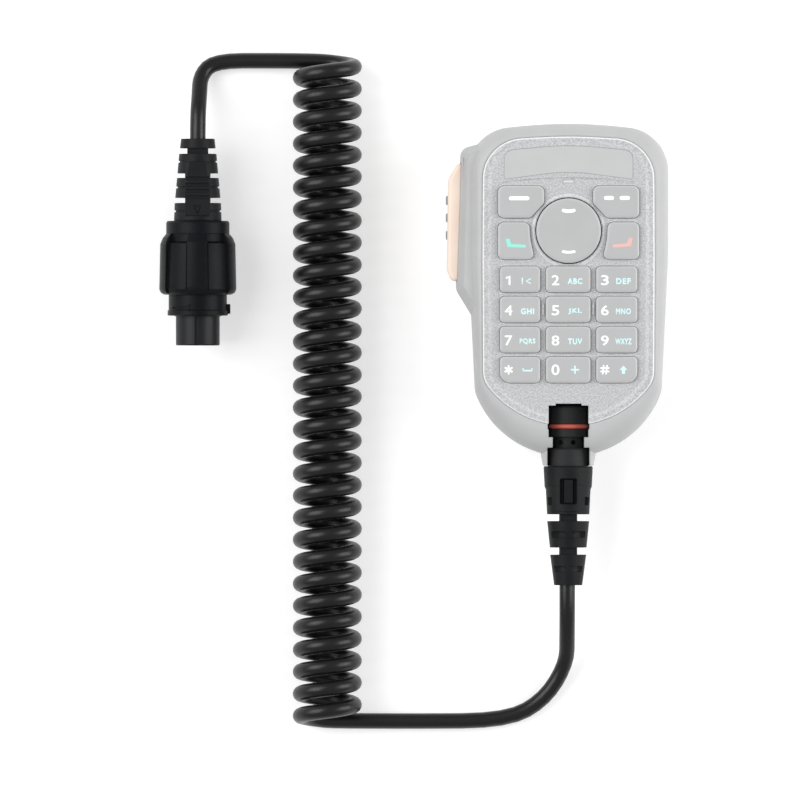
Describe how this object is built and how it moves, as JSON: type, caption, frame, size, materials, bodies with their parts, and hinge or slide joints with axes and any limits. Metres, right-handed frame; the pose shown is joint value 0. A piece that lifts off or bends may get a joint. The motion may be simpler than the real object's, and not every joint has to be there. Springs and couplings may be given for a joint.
{
  "type": "hand microphone",
  "caption": "Fist microphone with a phone-style keypad, side push-to-talk button and a curly cord that ends in a round bayonet radio plug.",
  "frame": {"origin": "in the plane of the handset's flat back, under the middle line of the keypad, 2 mm below the hang-up stud's axis towards the cord end", "axes": "+Z out of the keypad side, +Y towards the top of the handset, +X to the keypad's right; the cord leaves towards -Y"},
  "size_m": [0.1622, 0.2162, 0.0284],
  "materials": {
    "shell_plastic": "satin moulded shell",
    "face_plastic": "fine speckled texture",
    "label_plastic": "fine matt plate",
    "key_plastic": "smooth satin key caps",
    "ptt_plastic": "soft matt rubber",
    "dark_rubber": "matt rubber",
    "silicone": "translucent grey silicone",
    "board": "circuit board with solder mask",
    "chip_plastic": "moulded epoxy",
    "steel": "plated steel",
    "mesh_cloth": "pale acoustic mesh",
    "pivot_plastic": "natural nylon",
    "plug_plastic": "fine grained black moulding",
    "boot_rubber": "matt black moulded rubber",
    "ring_rubber": "red silicone ring",
    "contact_metal": "gold plated contacts",
    "ribbon": "flexible circuit film",
    "cord_jacket": "semi-gloss black jacket",
    "legend_white": "white printed marks on the keys",
    "legend_cyan": "pale cyan printed letters",
    "legend_green": "green call mark",
    "legend_red": "red end mark"
  },
  "bodies": {
    "handset": {"front_shell": "shell_plastic", "rear_shell": "shell_plastic", "face_plate": "face_plastic", "label_plate": "label_plastic", "shell_gasket": "dark_rubber", "nav_pivot": "pivot_plastic", "keypad_mat": "silicone", "keypad_board": "board", "dome_switches": "steel", "board_chips": "chip_plastic", "mic_boot": "dark_rubber", "mic_capsule": "steel", "mic_mesh": "mesh_cloth", "board_screws": "steel", "shell_screws": "steel", "hang_up_stud": "steel", "stud_screw": "steel", "ptt_seal": "dark_rubber", "ptt_switch": "chip_plastic", "socket_body": "plug_plastic", "socket_nut": "plug_plastic", "socket_pins": "contact_metal", "socket_ribbon": "ribbon", "mic_plug_body": "plug_plastic", "mic_plug_ring": "ring_rubber", "mic_plug_contacts": "contact_metal", "mic_plug_grip": "boot_rubber", "cord_lead_mic": "cord_jacket", "cord_coil": "cord_jacket", "cord_lead_radio": "cord_jacket", "radio_plug_boot": "boot_rubber", "radio_plug_shell": "plug_plastic", "radio_plug_insert": "plug_plastic", "radio_plug_pins": "contact_metal", "radio_plug_seal": "dark_rubber", "radio_plug_circlip": "steel"},
    "key_1": {"key_1": "key_plastic"},
    "key_2": {"key_2": "key_plastic"},
    "key_3": {"key_3": "key_plastic"},
    "key_4": {"key_4": "key_plastic"},
    "key_5": {"key_5": "key_plastic"},
    "key_6": {"key_6": "key_plastic"},
    "key_7": {"key_7": "key_plastic"},
    "key_8": {"key_8": "key_plastic"},
    "key_9": {"key_9": "key_plastic"},
    "key_star": {"key_star": "key_plastic"},
    "key_0": {"key_0": "key_plastic"},
    "key_hash": {"key_hash": "key_plastic"},
    "soft_key_left": {"soft_key_left": "key_plastic"},
    "soft_key_right": {"soft_key_right": "key_plastic"},
    "call_key": {"call_key": "key_plastic"},
    "end_key": {"end_key": "key_plastic"},
    "nav_rocker": {"nav_disc": "key_plastic"},
    "ptt": {"ptt_button": "ptt_plastic", "ptt_grip_ribs": "dark_rubber"},
    "coupling_collar": {"radio_plug_collar": "plug_plastic"}
  },
  "joints": [
    {"name": "key_1_press", "type": "slide", "parent": "handset", "child": "key_1", "axis": [0, 0, -1], "range_m": [0, 0.0009], "stiffness_N_per_m": 900, "springref_m": -0.0006},
    {"name": "key_2_press", "type": "slide", "parent": "handset", "child": "key_2", "axis": [0, 0, -1], "range_m": [0, 0.0009], "stiffness_N_per_m": 900, "springref_m": -0.0006},
    {"name": "key_3_press", "type": "slide", "parent": "handset", "child": "key_3", "axis": [0, 0, -1], "range_m": [0, 0.0009], "stiffness_N_per_m": 900, "springref_m": -0.0006},
    {"name": "key_4_press", "type": "slide", "parent": "handset", "child": "key_4", "axis": [0, 0, -1], "range_m": [0, 0.0009], "stiffness_N_per_m": 900, "springref_m": -0.0006},
    {"name": "key_5_press", "type": "slide", "parent": "handset", "child": "key_5", "axis": [0, 0, -1], "range_m": [0, 0.0009], "stiffness_N_per_m": 900, "springref_m": -0.0006},
    {"name": "key_6_press", "type": "slide", "parent": "handset", "child": "key_6", "axis": [0, 0, -1], "range_m": [0, 0.0009], "stiffness_N_per_m": 900, "springref_m": -0.0006},
    {"name": "key_7_press", "type": "slide", "parent": "handset", "child": "key_7", "axis": [0, 0, -1], "range_m": [0, 0.0009], "stiffness_N_per_m": 900, "springref_m": -0.0006},
    {"name": "key_8_press", "type": "slide", "parent": "handset", "child": "key_8", "axis": [0, 0, -1], "range_m": [0, 0.0009], "stiffness_N_per_m": 900, "springref_m": -0.0006},
    {"name": "key_9_press", "type": "slide", "parent": "handset", "child": "key_9", "axis": [0, 0, -1], "range_m": [0, 0.0009], "stiffness_N_per_m": 900, "springref_m": -0.0006},
    {"name": "key_star_press", "type": "slide", "parent": "handset", "child": "key_star", "axis": [0, 0, -1], "range_m": [0, 0.0009], "stiffness_N_per_m": 900, "springref_m": -0.0006},
    {"name": "key_0_press", "type": "slide", "parent": "handset", "child": "key_0", "axis": [0, 0, -1], "range_m": [0, 0.0009], "stiffness_N_per_m": 900, "springref_m": -0.0006},
    {"name": "key_hash_press", "type": "slide", "parent": "handset", "child": "key_hash", "axis": [0, 0, -1], "range_m": [0, 0.0009], "stiffness_N_per_m": 900, "springref_m": -0.0006},
    {"name": "soft_key_left_press", "type": "slide", "parent": "handset", "child": "soft_key_left", "axis": [0, 0, -1], "range_m": [0, 0.0009], "stiffness_N_per_m": 900, "springref_m": -0.0006},
    {"name": "soft_key_right_press", "type": "slide", "parent": "handset", "child": "soft_key_right", "axis": [0, 0, -1], "range_m": [0, 0.0009], "stiffness_N_per_m": 900, "springref_m": -0.0006},
    {"name": "call_key_press", "type": "slide", "parent": "handset", "child": "call_key", "axis": [0, 0, -1], "range_m": [0, 0.0009], "stiffness_N_per_m": 900, "springref_m": -0.0006},
    {"name": "end_key_press", "type": "slide", "parent": "handset", "child": "end_key", "axis": [0, 0, -1], "range_m": [0, 0.0009], "stiffness_N_per_m": 900, "springref_m": -0.0006},
    {"name": "nav_rock", "type": "hinge", "parent": "handset", "child": "nav_rocker", "pos_m": [0, 0.0205, 0.023], "axis": [1, 0, 0], "range_deg": [-2.5, 2.5], "stiffness_Nm_per_rad": 0.4},
    {"name": "ptt_press", "type": "slide", "parent": "handset", "child": "ptt", "axis": [1, 0, 0], "range_m": [0, 0.0015], "stiffness_N_per_m": 1200, "springref_m": -0.0008},
    {"name": "collar_turn", "type": "hinge", "parent": "handset", "child": "coupling_collar", "pos_m": [-0.1181, 0.01, 0.0124], "axis": [0, -1, 0], "range_deg": [0, 45]}
  ]
}
